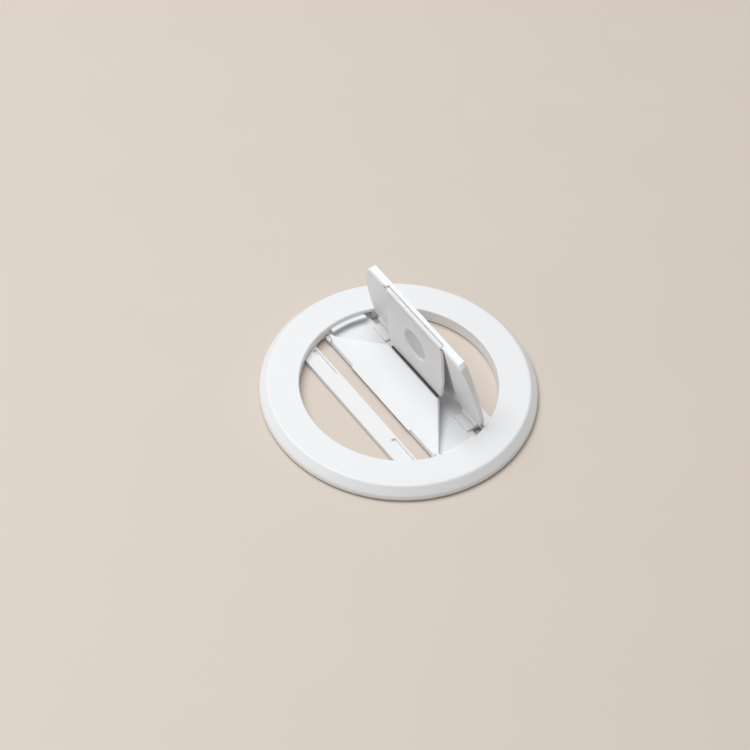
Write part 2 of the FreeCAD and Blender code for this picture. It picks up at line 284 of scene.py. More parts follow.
class StageSettings(bpy.types.PropertyGroup):
    """Camera, lamps and floor."""

    place: spot("Camera", "Where the camera stands", -287.8, -361.5, 550.8)
    heading: bearing("Heading", "Which way the camera looks, from +Y towards +X", 37.893)
    pitch: bearing("Pitch", "How far the camera looks down", 49.748)
    roll: bearing("Roll", "How far the camera is tilted about its view", 3.69)
    lens: lens_size("Lens", "Focal length", 165.89)
    sensor: lens_size("Sensor", "Width of the camera's sensor", 36.0)
    near: length("Near", "Where the camera's view starts", 10)
    floor: colour("Floor", "Colour of the floor", (0.725, 0.63, 0.547))
    floor_half: length("Floor size", "Half the width of the floor", 4000)
    sky: FloatProperty(name="Sky", description="Strength of the light from all round", default=0.36, min=0)
    key: power("Key", "Power of the large lamp", 4.9)
    key_size: length("Key size", "Diameter of the large lamp", 650)
    key_place: spot("Key place", "Where the large lamp hangs", -134, 222, 757)
    fill: power("Fill", "Power of the side lamp", 0.2)
    fill_size: length("Fill size", "Diameter of the side lamp", 400)
    fill_place: spot("Fill place", "Where the side lamp stands", -540, 40, 170)
    light: colour("Light", "Colour of all the light", (0.965, 0.985, 1.0))


class HolderColours(bpy.types.PropertyGroup):
    """Colours of the finishes."""

    shell: colour("Shell", "Ring and flap", COLOURS["shell_white"])
    base: colour("Base", "Base and its bars", COLOURS["base_white"])
    stay: colour("Stay", "Both plates of the stay", COLOURS["stay_white"])
    pad: colour("Pad", "Soft pad under the base", COLOURS["pad_white"])
    magnet: colour("Magnets", "Plated magnets and their shield", COLOURS["magnet_steel"])
    pin: colour("Pins", "Ground hinge pins", COLOURS["pin_steel"])
    # The knee strip's black is painted shade: it stands in for the shaded gap at the knee
    knee: colour("Knee", "Soft strip at the knee", COLOURS["knee_black"])


class Value:
    """A number in a shader: arithmetic on it adds Math nodes."""

    def __init__(self, finish, socket):
        self.finish = finish
        self.socket = socket

    def math(self, operation, first, second):
        """A Math node on two numbers, either of which may be a link."""
        return self.finish.node("ShaderNodeMath", {"operation": operation}, {0: first, 1: second})

    def __add__(self, other):
        return self.math("ADD", self, other)

    def __sub__(self, other):
        return self.math("SUBTRACT", self, other)

    def __rsub__(self, other):
        return self.math("SUBTRACT", other, self)

    def __mul__(self, other):
        return self.math("MULTIPLY", self, other)

    __radd__ = __add__
    __rmul__ = __mul__

    def between(self, low, high):
        """Low where this number is 0, high where it is 1."""
        return self * (high - low) + low


class Finish:
    """A material under construction."""

    def __init__(self, name):
        self.material = bpy.data.materials.new(name)
        self.material.use_nodes = True
        self.tree = self.material.node_tree
        self.shader = self.tree.nodes["Principled BSDF"]
        self.place = self.node("ShaderNodeTexCoord", output="Object")

    def node(self, kind, settings=None, sockets=None, output=0):
        """Add a node: its settings first, then the values or links of its sockets."""
        made = self.tree.nodes.new(kind)
        for name, setting in (settings or {}).items():
            if name == "stops":
                self.set_stops(made.color_ramp, setting)
            else:
                setattr(made, name, setting)
        for name, given in (sockets or {}).items():
            self.feed(made.inputs[name], given)
        return Value(self, made.outputs[output])

    def set_stops(self, ramp, stops):
        """Give a ramp its stops, each a position and a shade of grey."""
        while len(ramp.elements) < len(stops):
            ramp.elements.new(1.0)
        for element, (position, shade) in zip(ramp.elements, stops):
            element.position = position
            element.color = (shade, shade, shade, 1.0)

    def feed(self, socket, given):
        """Link a value to a socket, or set the socket to a plain number, colour or vector."""
        if isinstance(given, Value):
            self.tree.links.new(given.socket, socket)
        else:
            socket.default_value = given

    def set(self, **sockets):
        """Feed the shader's own sockets, named with underscores for spaces."""
        for name, given in sockets.items():
            self.feed(self.shader.inputs[name.replace("_", " ").title().replace("Ior", "IOR")], given)

    def noise(self, size, detail):
        """Noise with lumps of about this size."""
        sockets = {"Vector": self.place, "Scale": 1.0 / size, "Detail": detail}
        return self.node("ShaderNodeTexNoise", {}, sockets, "Fac")

    def blend(self, amount, first, second):
        """A colour between two others."""
        sockets = {MIX_FACTOR: amount, MIX_FIRST: (*first, 1.0), MIX_SECOND: (*second, 1.0)}
        return self.node("ShaderNodeMix", {"data_type": "RGBA"}, sockets, MIX_RESULT)

    def bump(self, height, distance):
        """A normal that follows a height, which stands for this distance from 0 to 1."""
        sockets = {"Strength": 1.0, "Distance": distance, "Height": height}
        return self.node("ShaderNodeBump", {}, sockets)


def dimmer(shade, share):
    """A share of a colour's brightness."""
    return tuple(part * share for part in shade)


def moulded(name, shade, gloss, patches=0.12, grain=0.1, glow=0.0):
    """Satin white moulding with faint flow clouds, a slight ripple and a fine spark grain.

    Gloss is its middle roughness and patches how much that varies. Grain is the spark's share beside the
    ripple, and glow the share of the light that passes through where the moulding is thin.
    """
    finish = Finish(name)
    clouds = finish.noise(size=5.0 * MM, detail=3.0)
    spark = finish.noise(size=0.12 * MM, detail=3.0)
    ripple = finish.noise(size=7.0 * MM, detail=1.0)
    finish.set(
        base_color=finish.blend(clouds, dimmer(shade, share=0.975), shade),
        roughness=(clouds - NOISE_MIDDLE) * patches + gloss,
        normal=finish.bump(spark * grain + ripple, distance=0.0128 * MM),
        ior=PLASTIC_IOR,
        subsurface_weight=glow,
        subsurface_scale=1.5 * MM,
        subsurface_radius=(1.0, 1.0, 1.0),
    )
    return finish.material


def soft_pad(name, shade, cell=0.35 * MM):
    """Soft white pad with a fine leathery bloom."""
    finish = Finish(name)
    cells = finish.node(
        "ShaderNodeTexVoronoi", {}, {"Vector": finish.place, "Scale": 1.0 / cell}, "Distance"
    )
    bloom = finish.noise(size=2.5 * MM, detail=4.0)
    finish.set(
        base_color=finish.blend(bloom, dimmer(shade, share=0.94), shade),
        roughness=bloom.between(low=0.62, high=0.77),
        normal=finish.bump(cells, distance=0.012 * MM),
    )
    return finish.material


def plated(name, shade, streak):
    """Plated or ground steel, with streaks of these sizes along X, Y and Z."""
    finish = Finish(name)
    stretched = finish.node(
        "ShaderNodeMapping", {}, {"Vector": finish.place, "Scale": tuple(1.0 / size for size in streak)}
    )
    streaks = finish.node(
        "ShaderNodeTexNoise", {}, {"Vector": stretched, "Scale": 1.0, "Detail": 4.0}, "Fac"
    )
    tarnish = finish.noise(size=1.6 * MM, detail=3.0)
    finish.set(
        base_color=finish.blend(tarnish, dimmer(shade, share=0.88), shade),
        metallic=1.0,
        roughness=streaks.between(low=0.18, high=0.38),
        normal=finish.bump(streaks, distance=0.002 * MM),
    )
    return finish.material


def black_strip(name, shade, dust_shade=(0.06, 0.06, 0.062)):
    """Matte black strip with a faint mould grain and dust in it. Its black is painted shade, standing in for a
    shaded gap.
    """
    finish = Finish(name)
    grain = finish.noise(size=0.1 * MM, detail=3.0)
    dust = finish.noise(size=0.8 * MM, detail=4.0)
    clean, dusty = (0.55, 0.0), (0.8, 1.0)
    dusted = finish.node("ShaderNodeValToRGB", {"stops": [clean, dusty]}, {"Fac": dust})
    finish.set(
        base_color=finish.blend(dusted, shade, dust_shade),
        roughness=grain.between(low=0.55, high=0.75),
        normal=finish.bump(grain, distance=0.006 * MM),
    )
    return finish.material


def floor_finish(name, shade):
    """Pale floor with very faint mottling."""
    finish = Finish(name)
    mottle = finish.noise(size=18.0 * MM, detail=3.0)
    finish.set(
        base_color=finish.blend(mottle, dimmer(shade, share=0.97), shade),
        roughness=mottle.between(low=0.5, high=0.6),
    )
    return finish.material


def holder_finish(slot):
    """The finish of a material slot, made once."""
    name = "holder_" + slot
    if name in bpy.data.materials:
        return bpy.data.materials[name]
    colours = bpy.context.scene.holder_colours
    recipes = {
        "shell_white": lambda: moulded(name, colours.shell, gloss=0.42),
        "base_white": lambda: moulded(name, colours.base, gloss=0.46),
        "stay_white": lambda: moulded(name, colours.stay, gloss=0.36, glow=0.6),
        "pad_white": lambda: soft_pad(name, colours.pad),
        "magnet_steel": lambda: plated(name, colours.magnet, streak=(0.6 * MM, 0.6 * MM, 0.05 * MM)),
        "pin_steel": lambda: plated(name, colours.pin, streak=(0.04 * MM, 1.5 * MM, 0.04 * MM)),
        # The knee strip's black is painted shade for the gap at the knee
        "knee_black": lambda: black_strip(name, colours.knee),
    }
    return recipes[slot]()


def everything(shape):
    """All corners, edges and faces of a shape."""
    return shape.verts[:] + shape.edges[:] + shape.faces[:]


def edges_of(faces):
    """The edges of some faces, each once."""
    return list(dict.fromkeys(edge for face in faces for edge in face.edges))


def corners_of(faces):
    """The corners of some faces, each once."""
    return list(dict.fromkeys(vert for face in faces for vert in face.verts))


def new_corners(made):
    """The corners among what an operator made."""
    return [item for item in made["geom"] if isinstance(item, bmesh.types.BMVert)]


def face_of(shape, points):
    """One face from a short list of corners."""
    return shape.faces.new([shape.verts.new(point) for point in points])


def plate_face(shape, half, z):
    """A flat face from one half of its outline, given as x and y, and the mirror of that half."""
    outline = half + [(x, -y) for x, y in reversed(half)]
    return face_of(shape, [(x, y, z) for x, y in outline])


def round_corner(shape, corner, radius, segments=5):
    """Round a corner of a flat outline."""
    bmesh.ops.bevel(
        shape, geom=[corner], offset=radius, offset_type="OFFSET", affect="VERTICES",
        segments=segments, profile=0.5, material=-1,
    )


def soften(shape, radius, segments=3, angle=CORNER_ANGLE, wanted=None):
    """Round every edge sharper than an angle, or only those that are wanted."""
    edges = [
        edge for edge in shape.edges
        if len(edge.link_faces) == 2 and edge.calc_face_angle() > angle
        and (wanted is None or wanted(edge))
    ]
    bmesh.ops.bevel(
        shape, geom=edges, offset=radius, offset_type="OFFSET", affect="EDGES",
        segments=segments, profile=0.5, material=-1, clamp_overlap=True,
    )


def flatten(shape):
    """Join faces that lie in one plane."""
    bmesh.ops.dissolve_limit(
        shape, angle_limit=FLAT_ANGLE, verts=shape.verts[:], edges=shape.edges[:]
    )


def split(shape, place, normal, clear=False, faces=None):
    """Cut all faces or some along a plane, and drop what lies past it if asked."""
    geom = everything(shape) if faces is None else [*corners_of(faces), *edges_of(faces), *faces]
    bmesh.ops.bisect_plane(
        shape, geom=geom, plane_co=place, plane_no=normal, clear_outer=clear, dist=CUT_NEAR
    )


def disc_slice(shape, radius, left, right, z, steps):
    """The part of a disc between two lines across it, as one flat face."""
    bmesh.ops.create_circle(
        shape, cap_ends=True, radius=radius, segments=steps, matrix=Matrix.Translation((0, 0, z))
    )
    split(shape, (left, 0, z), (-1, 0, 0), clear=True)
    split(shape, (right, 0, z), (1, 0, 0), clear=True)


def grow(shape, faces, height):
    """Extrude faces along Z and return the moved ones."""
    made = bmesh.ops.extrude_face_region(shape, geom=[*faces, *edges_of(faces)])
    bmesh.ops.translate(shape, vec=(0, 0, height), verts=new_corners(made))
    return [item for item in made["geom"] if isinstance(item, bmesh.types.BMFace)]


def mend(shape):
    """Merge doubles, then point the faces outwards."""
    bmesh.ops.remove_doubles(shape, verts=shape.verts[:], dist=MERGE_NEAR)
    bmesh.ops.recalc_face_normals(shape, faces=shape.faces[:])


def add_rod(shape, radius, start, end, axis, edge):
    """Add a rod with rounded ends along Y, from start to end on an axis."""
    rod = bmesh.new()
    lie_down = Matrix.Rotation(math.pi / 2, 4, "X")
    bmesh.ops.create_cone(
        rod, cap_ends=True, segments=ROD_STEPS, radius1=radius, radius2=radius, depth=end - start,
        matrix=Matrix.Translation((axis.x, (start + end) / 2, axis.z)) @ lie_down,
    )
    soften(rod, edge, segments=2, angle=ROD_END_ANGLE)
    add_shape(shape, rod)


def make_block(low, high, edge):
    """A box with rounded edges between two corners."""
    low, high = Vector(low), Vector(high)
    block = bmesh.new()
    stretch = Matrix.Diagonal((*(high - low), 1))
    bmesh.ops.create_cube(block, size=1.0, matrix=Matrix.Translation((low + high) / 2) @ stretch)
    soften(block, edge, segments=2)
    return block


def push_wall(shape, radius, depth, left, right, top):
    """Push part of a round wall outwards, on both sides of the middle plane, to make pockets."""

    def on_wall(vert):
        return abs(vert.co.xy.length - radius) < WALL_NEAR

    cuts = [((x, 0, 0), (1, 0, 0)) for x in (left, left + SLIVER, right - SLIVER, right)]
    cuts += [((0, 0, z), (0, 0, 1)) for z in (top, top - SLIVER)]
    for place, normal in cuts:
        wall = [
            face for face in shape.faces
            if all(on_wall(vert) for vert in face.verts)
            and left - POCKET_MARGIN < face.calc_center_median().x < right + POCKET_MARGIN
        ]
        split(shape, place, normal, faces=wall)
    pushed = [
        vert for vert in shape.verts
        if on_wall(vert) and vert.co.z < top - SLIVER / 2
        and left + SLIVER / 2 < vert.co.x < right - SLIVER / 2
    ]
    share = (radius + depth) / radius
    bmesh.ops.scale(shape, vec=(share, share, 1), verts=pushed)


def arc_half_width(points):
    """A function for y along the circle through three points, each given as x and y."""
    (ax, ay), (bx, by), (cx, cy) = points
    twice = 2 * (ax * (by - cy) + bx * (cy - ay) + cx * (ay - by))
    a, b, c = ax * ax + ay * ay, bx * bx + by * by, cx * cx + cy * cy
    middle_x = (a * (by - cy) + b * (cy - ay) + c * (ay - by)) / twice
    middle_y = (a * (cx - bx) + b * (ax - cx) + c * (bx - ax)) / twice
    radius = math.dist((ax, ay), (middle_x, middle_y))
    return lambda x: middle_y + math.sqrt(radius ** 2 - (x - middle_x) ** 2)


def add_shape(shape, other):
    """Move another shape's faces into this one."""
    mesh = bpy.data.meshes.new("loose")
    other.to_mesh(mesh)
    other.free()
    shape.from_mesh(mesh)
    bpy.data.meshes.remove(mesh)


def lathe(shape, points, steps):
    """Spin an outline about Z. A point is a radius, a height and, if its corner is round, a rounding."""
    outline = face_of(shape, [(radius, 0, height) for radius, height, *_ in points])
    for corner, (_, _, *rounding) in zip(list(outline.verts), points):
        if rounding:
            round_corner(shape, corner, *rounding)
    bmesh.ops.delete(shape, geom=shape.faces[:], context="FACES_ONLY")
    bmesh.ops.spin(
        shape, geom=shape.verts[:] + shape.edges[:], cent=(0, 0, 0), axis=(0, 0, 1),
        angle=2 * math.pi, steps=steps, use_merge=True,
    )


def make_piece(name, shape, body, slot, replaced=(), place=None):
    """Turn a shape into a piece that rides a body, with its slot's finish."""
    if place is not None:
        bmesh.ops.transform(shape, matrix=place, verts=shape.verts[:])
    mend(shape)
    mesh = bpy.data.meshes.new(name)
    shape.to_mesh(mesh)
    shape.free()
    mesh.shade_smooth()
    mesh.set_sharp_from_angle(angle=CREASE_ANGLE)
    mesh.materials.append(holder_finish(slot))
    piece = bpy.data.objects.new(name, mesh)
    bpy.context.scene.collection.objects.link(piece)
    weigh = piece.modifiers.new("flat_faces", "WEIGHTED_NORMAL")
    weigh.keep_sharp = True
    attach(piece, body)
    if replaced:
        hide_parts(*replaced)


class HOLDER_OT_ring(bpy.types.Operator):
    """Lathe the ring's shell and set the two ledges on its inner wall."""

    bl_idname = "holder.ring"
    bl_label = "Ring"

    def execute(self, context):
        ring = context.scene.holder_ring
        base = context.scene.holder_base
        carrier_top = PAD_TOP + base.thickness
        points = [
            (ring.well, base.floor_top),
            (ring.well + ring.inner_wall, base.floor_top),
            (ring.well + ring.inner_wall, RING_TOP - ring.top_wall),
            (RING_OUTER - ring.outer_wall, RING_TOP - ring.top_wall),
            (RING_OUTER - ring.outer_wall, carrier_top),
            (RING_OUTER - ring.rim_lip, carrier_top),
            (RING_OUTER - ring.rim_lip, PAD_TOP),
            (RING_OUTER, PAD_TOP, ring.foot_round),
            (RING_OUTER, ring.rim, ring.rim_round),
            (ring.flat, RING_TOP, ring.crown_round),
            (ring.well, RING_TOP, ring.inner_edge),
        ]
        shell = bmesh.new()
        lathe(shell, points, ring.steps)
        hinge_pocket_right = ring.ledge_right + ring.hinge_pocket
        push_wall(
            shell, ring.well, ring.pocket_depth, ring.ledge_right, hinge_pocket_right, ring.hinge_pocket_top
        )
        push_wall(
            shell, ring.well, ring.pocket_depth, ring.gap_pocket_left, ring.gap_pocket_right,
            ring.gap_pocket_top,
        )
        make_piece("ring_shell", shell, "base", "shell_white", ("top_ring",))
        for side, sign in SIDES.items():
            self.make_ledge(ring, side, sign)
        return {"FINISHED"}

    def make_ledge(self, ring, side, sign):
        """An arc of ledge, cut square at both ends."""
        arc = bmesh.new()
        inner = ring.well - ring.ledge_width
        outer = ring.well + ring.inner_wall / 2
        bottom = ring.ledge_top - ring.ledge_thickness
        face_of(arc, [
            (0, inner, bottom), (0, outer, bottom), (0, outer, ring.ledge_top), (0, inner, ring.ledge_top),
        ])
        start = Matrix.Rotation(LEDGE_SWEEP, 3, "Z")
        bmesh.ops.rotate(arc, cent=(0, 0, 0), matrix=start, verts=arc.verts[:])
        bmesh.ops.spin(
            arc, geom=everything(arc), cent=(0, 0, 0), axis=(0, 0, 1),
            angle=-2 * LEDGE_SWEEP, steps=LEDGE_STEPS,
        )
        split(arc, (ring.ledge_left, 0, 0), (-1, 0, 0), clear=True)
        split(arc, (ring.ledge_right, 0, 0), (1, 0, 0), clear=True)
        bmesh.ops.holes_fill(arc, edges=[edge for edge in arc.edges if edge.is_boundary], sides=0)
        mend(arc)
        soften(arc, ring.ledge_round, segments=4)
        bmesh.ops.scale(arc, vec=(1, sign, 1), verts=arc.verts[:])
        make_piece("well_ledge_" + side, arc, "base", "shell_white")


class HOLDER_OT_base(bpy.types.Operator):
    """Build the carrier under the ring, the well's floor, the bars across it and the hinge lugs."""

    bl_idname = "holder.base"
    bl_label = "Base"

    def execute(self, context):
        ring = context.scene.holder_ring
        base = context.scene.holder_base
        self.make_carrier(ring, base)
        self.make_floor(ring, base)
        self.make_rail(ring, base)
        self.make_rear_bar(ring, base)
        for side, sign in SIDES.items():
            self.make_lug(base, side, sign)
        return {"FINISHED"}

    def make_carrier(self, ring, base):
        """The ring-shaped carrier, which steps down to the floor's height inside the magnets."""
        carrier = bmesh.new()
        step = ring.well + ring.inner_wall + base.fit
        outer = RING_OUTER - ring.rim_lip - base.fit
        carrier_top = PAD_TOP + base.thickness
        points = [
            (ring.well, base.lift), (step, base.lift), (step, PAD_TOP), (outer, PAD_TOP),
            (outer, carrier_top), (step, carrier_top), (step, base.floor_top), (ring.well, base.floor_top),
        ]
        lathe(carrier, points, ring.steps)
        push_wall(
            carrier, ring.well, ring.pocket_depth, ring.gap_pocket_left, ring.gap_pocket_right, RING_TOP
        )
        make_piece("carrier_ring", carrier, "base", "base_white", ("base_plate",))

    def make_floor(self, ring, base):
        """The floor, with a hole under each pin of the flap's hinge."""
        floor = bmesh.new()
        left = base.left + base.rail_width + base.gap_width
        disc_slice(floor, ring.well, left, base.right, base.lift, ring.steps)
        hole_right = base.hole_left + base.hole_length
        hole_y = math.sqrt(ring.well ** 2 - hole_right ** 2) - base.hole_depth
        for place, normal in (
            ((base.hole_left, 0, 0), (1, 0, 0)), ((hole_right, 0, 0), (1, 0, 0)),
            ((0, hole_y, 0), (0, 1, 0)), ((0, -hole_y, 0), (0, 1, 0)),
        ):
            split(floor, place, normal)
        holes = []
        for face in floor.faces:
            middle = face.calc_center_median()
            if base.hole_left < middle.x < hole_right and abs(middle.y) > hole_y:
                holes.append(face)
        bmesh.ops.delete(floor, geom=holes, context="FACES")
        flatten(floor)
        grow(floor, floor.faces[:], base.floor_top - base.lift)
        make_piece("well_floor", floor, "base", "base_white")

    def make_rail(self, ring, base):
        """The front rail, with a groove along its right side at each end."""
        rail = bmesh.new()
        right = base.left + base.rail_width
        groove_end = base.groove_start + base.groove_length
        groove_right = right - base.fence
        groove_left = groove_right - base.groove_width
        disc_slice(rail, ring.well - base.fit, base.left, right, base.lift, ring.steps)
        for x in (groove_left, groove_right):
            split(rail, (x, 0, 0), (1, 0, 0))
        for y in (base.groove_start, groove_end):
            split(rail, (0, y, 0), (0, 1, 0))
            split(rail, (0, -y, 0), (0, 1, 0))
        raised = grow(rail, rail.faces[:], base.bar_top - base.groove_depth - base.lift)
        tall = []
        for face in raised:
            middle = face.calc_center_median()
            across = groove_left < middle.x < groove_right
            if not (across and base.groove_start < abs(middle.y) < groove_end):
                tall.append(face)
        grow(rail, tall, base.groove_depth)
        mend(rail)
        flatten(rail)
        soften(rail, base.edge, wanted=lambda edge: edge.calc_length() > 2 * base.edge)
        make_piece("front_rail", rail, "base", "base_white")

    def make_rear_bar(self, ring, base):
        """The bar behind the flap's hinge, with round edges except along the wall."""
        rear = bmesh.new()
        left = base.right - base.rear_width
        disc_slice(rear, ring.well - base.fit, left, base.right, base.lift, ring.steps)
        grow(rear, rear.faces[:], base.bar_top - base.lift)
        mend(rear)

        def off_wall(edge):
            start, end = edge.verts
            return abs(start.co.x - end.co.x) < base.edge

        soften(rear, base.edge, wanted=off_wall)
        make_piece("rear_bar", rear, "base", "base_white")

    def make_lug(self, base, side, sign):
        """A low block on the floor in front of a hinge knuckle."""
        low_y, high_y = sorted((sign * base.lug_inner, sign * base.lug_outer))
        low = (base.lug_left, low_y, base.floor_top - base.fit)
        high = (base.lug_right, high_y, base.lug_top)
        lug = make_block(low, high, base.lug_round)
        make_piece("hinge_lug_" + side, lug, "base", "base_white")


class HOLDER_OT_flap(bpy.types.Operator):
    """Build the flap folded flat, with the recess for the stay, and turn it up on its hinge."""

    bl_idname = "holder.flap"
    bl_label = "Flap"

    def execute(self, context):
        ring = context.scene.holder_ring
        flap = context.scene.holder_flap
        stay = context.scene.holder_stay
        foot = HINGE.x - flap.heel
        top = RING_TOP - flap.top_gap
        bottom = top - flap.thickness
        knee_end = stay.knee + stay.knee_gap
        lip_end = flap.lip - flap.reach
        front, back = self.end_curves(ring, flap, foot)
        shape = bmesh.new()
        self.draw_plan(shape, front, flap, foot, bottom + flap.recess_depth)
        split(shape, (knee_end, 0, 0), (1, 0, 0))
        split(shape, (lip_end, 0, 0), (1, 0, 0))
        for y in (-flap.recess_half, flap.recess_half):
            split(shape, (0, y, 0), (0, 1, 0))
        under = shape.faces[:]

        def settle(faces, z):
            """Set the height of faces, and how far their outer and inner edges stand out there."""
            slope = max(0.0, (z - bottom - flap.rim) / (flap.thickness - flap.rim))
            flare = flap.flare * max(0.0, 1 - (z - bottom) / flap.flare_depth)
            below = max(0.0, flap.lip_round - (z - bottom))
            free_edge = -flap.reach + flap.lip_round - math.sqrt(flap.lip_round ** 2 - below ** 2)
            for vert in corners_of(faces):
                x, y = vert.co.x, abs(vert.co.y)
                on_free_edge = x < -flap.reach + flap.lip_round + LINE_NEAR
                if on_free_edge:
                    x = free_edge
                if y > flap.recess_half + flap.flare:
                    y = front(x) + slope * (back(x) - front(x))
                    if on_free_edge:
                        y -= flap.corner_cut
                elif x < knee_end + LINE_NEAR and abs(y - flap.recess_half) < flap.flare + LINE_NEAR:
                    y = flap.recess_half + flare
                vert.co = (x, math.copysign(y, vert.co.y), z)

        settle(under, bottom + flap.recess_depth)
        settle(grow(shape, under, 0), top)
        low = [face for face in under if not self.in_recess(face, flap, knee_end)]
        for z in (bottom + flap.flare_depth, bottom + flap.rim, bottom + flap.lip_depth):
            low = grow(shape, low, 0)
            settle(low, z)
        proud = []
        for face in low:
            middle = face.calc_center_median()
            if middle.x < lip_end or abs(middle.y) < flap.recess_half:
                proud.append(face)
        settle(grow(shape, proud, 0), bottom)
        mend(shape)
        flatten(shape)
        soften(shape, flap.edge, angle=SHALLOW_ANGLE)
        outer = math.sqrt(ring.well ** 2 - HINGE.x ** 2) - flap.knuckle_gap
        inner = outer - flap.knuckle_length
        for start, end in ((inner, outer), (-outer, -inner)):
            add_rod(shape, flap.knuckle, start, end, HINGE, flap.edge)
        make_piece("flap_shell", shape, "flap", "shell_white", ("flap",), FLAP_PLACE)
        return {"FINISHED"}

    def end_curves(self, ring, flap, foot):
        """Half width of the flap along x, at the front and at the back."""
        corner = math.sqrt((ring.well - flap.edge_gap) ** 2 - flap.reach ** 2)
        bow = math.sqrt(ring.well ** 2 - flap.bow ** 2) - flap.bow_gap
        foot_end = math.sqrt(ring.well ** 2 - foot ** 2) - flap.foot_gap
        start = (-flap.reach, corner)
        front = arc_half_width((start, (flap.bow, bow), (foot, foot_end)))
        back = arc_half_width((start, (flap.bow, bow - flap.bow_slope), (foot, foot_end - flap.foot_slope)))
        return front, back

    def draw_plan(self, shape, front, flap, foot, z):
        """The flap's plan as one face: a grid whose rows follow the bowed ends."""
        bmesh.ops.create_grid(shape, x_segments=BOW_STEPS, y_segments=1, size=0.5)
        for vert in shape.verts:
            along = vert.co.x + 0.5
            x = foot * along - flap.reach * (1 - along)
            vert.co = (x, math.copysign(front(x), vert.co.y), z)
        bmesh.ops.dissolve_faces(shape, faces=shape.faces[:])

    def in_recess(self, face, flap, knee_end):
        """True for a face that the recess for the stay takes up."""
        middle = face.calc_center_median()
        return abs(middle.y) < flap.recess_half and middle.x < knee_end


class HOLDER_OT_stay(bpy.types.Operator):
    """Build both plates of the stay folded flat, and turn them up with the flap."""

    bl_idname = "holder.stay"
    bl_label = "Stay"

    def execute(self, context):
        self.make_upper(context.scene.holder_stay)
        self.make_lower(context.scene.holder_stay, context.scene.holder_base)
        self.make_strip(context.scene.holder_stay, context.scene.holder_base)
        return {"FINISHED"}

    def make_upper(self, stay):
        """The upper plate, with a finger dish in its face and a hinge barrel at its top."""
        shape = bmesh.new()
        bottom = FLAT_PIVOT.z - stay.upper_thickness / 2
        taper = stay.knee - stay.taper
        half = [
            (FLAT_PIVOT.x, stay.upper_half), (taper, stay.upper_half), (stay.knee, stay.knee_half),
        ]
        outline = plate_face(shape, half, bottom)
        edges = list(outline.edges)
        bmesh.ops.delete(shape, geom=[outline], context="FACES_ONLY")
        dish_x = FLAT_PIVOT.x + stay.dish_distance
        made = bmesh.ops.create_circle(
            shape, radius=stay.dish, segments=DISH_STEPS, matrix=Matrix.Translation((dish_x, 0, bottom))
        )
        circle = list(dict.fromkeys(edge for vert in made["verts"] for edge in vert.link_edges))
        bmesh.ops.triangle_fill(shape, use_beauty=True, edges=edges + circle)
        self.sink_dish(shape, circle, dish_x, stay)
        walls = bmesh.ops.extrude_edge_only(shape, edges=edges)
        bmesh.ops.translate(shape, vec=(0, 0, stay.upper_thickness), verts=new_corners(walls))
        bmesh.ops.edgeloop_fill(shape, edges=[edge for edge in shape.edges if edge.is_boundary])
        mend(shape)
        soften(shape, stay.edge)
        add_rod(shape, stay.barrel, -stay.upper_half, stay.upper_half, FLAT_PIVOT, stay.edge)
        make_piece("upper_plate", shape, "upper_stay", "stay_white", ("stay_upper",), UPPER_PLACE)

    def sink_dish(self, shape, circle, dish_x, stay):
        """Carry a circle down the steep side of a dish with a nearly flat bottom."""
        space = Matrix.Translation((-dish_x, 0, 0))
        last_share, last_depth = 1.0, 0.0
        for share, depth in DISH_LEVELS:
            made = bmesh.ops.extrude_edge_only(shape, edges=circle)
            verts = new_corners(made)
            circle = [
                item for item in made["geom"]
                if isinstance(item, bmesh.types.BMEdge) and all(vert in verts for vert in item.verts)
            ]
            ratio = share / last_share
            bmesh.ops.scale(shape, vec=(ratio, ratio, 1), verts=verts, space=space)
            bmesh.ops.translate(shape, vec=(0, 0, (depth - last_depth) * stay.dish_depth), verts=verts)
            last_share, last_depth = share, depth
        bmesh.ops.edgeloop_fill(shape, edges=circle)

    def make_lower(self, stay, base):
        """The lower plate: a trapezoid that ends at the knee, with ears on the lower hinge."""
        shape = bmesh.new()
        bottom = base.floor_top + stay.lower_lift
        ear_right = LOWER_PIVOT.x - stay.ear + stay.ear_width
        end_x = stay.knee - stay.knee_gap
        # The left edge steps back to its slope over a quarter of the rounding
        slope_start = stay.slope_start + stay.edge / 4
        half = [
            (stay.lower_left, stay.slope_start), (stay.lower_left, slope_start),
            (stay.lower_left, stay.side), (LOWER_PIVOT.x, stay.side), (LOWER_PIVOT.x, stay.ear_end),
            (ear_right, stay.ear_end), (ear_right + stay.shoulder, stay.side + stay.shoulder),
            (end_x, stay.knee_half),
        ]
        plate_face(shape, half, bottom)
        for vert in corners_of(grow(shape, shape.faces[:], stay.lower_thickness)):
            if vert.co.x < stay.lower_left + LINE_NEAR and abs(vert.co.y) > slope_start - LINE_NEAR:
                vert.co.x += stay.slope_width
        for vert in shape.verts:
            if vert.co.x > end_x - LINE_NEAR and vert.co.z < bottom + LINE_NEAR:
                vert.co.x += stay.knee_slope
        mend(shape)
        soften(shape, stay.edge)
        for start, end in ((stay.side, stay.ear_end), (-stay.ear_end, -stay.side)):
            add_rod(shape, stay.ear, start, end, LOWER_PIVOT, stay.edge)
        make_piece("lower_plate", shape, "lower_stay", "stay_white", ("stay_lower",), LOWER_PLACE)

    def make_strip(self, stay, base):
        """The soft black strip that closes the knee from below; its black is painted shade, standing in for the
        shaded gap between the plates.
        """
        bottom = base.floor_top + stay.lower_lift
        end_x = stay.knee - stay.knee_gap
        half = stay.knee_half - stay.knee_gap
        low = (end_x - stay.strip_lap, -half, bottom)
        high = (end_x + stay.strip_reach, half, bottom + stay.strip)
        strip = make_block(low, high, edge=stay.strip / 4)
        # The strip's black is painted shade in the gap at the knee
        make_piece("knee_shade_strip", strip, "lower_stay", "knee_black", ("knee_strip",), LOWER_PLACE)


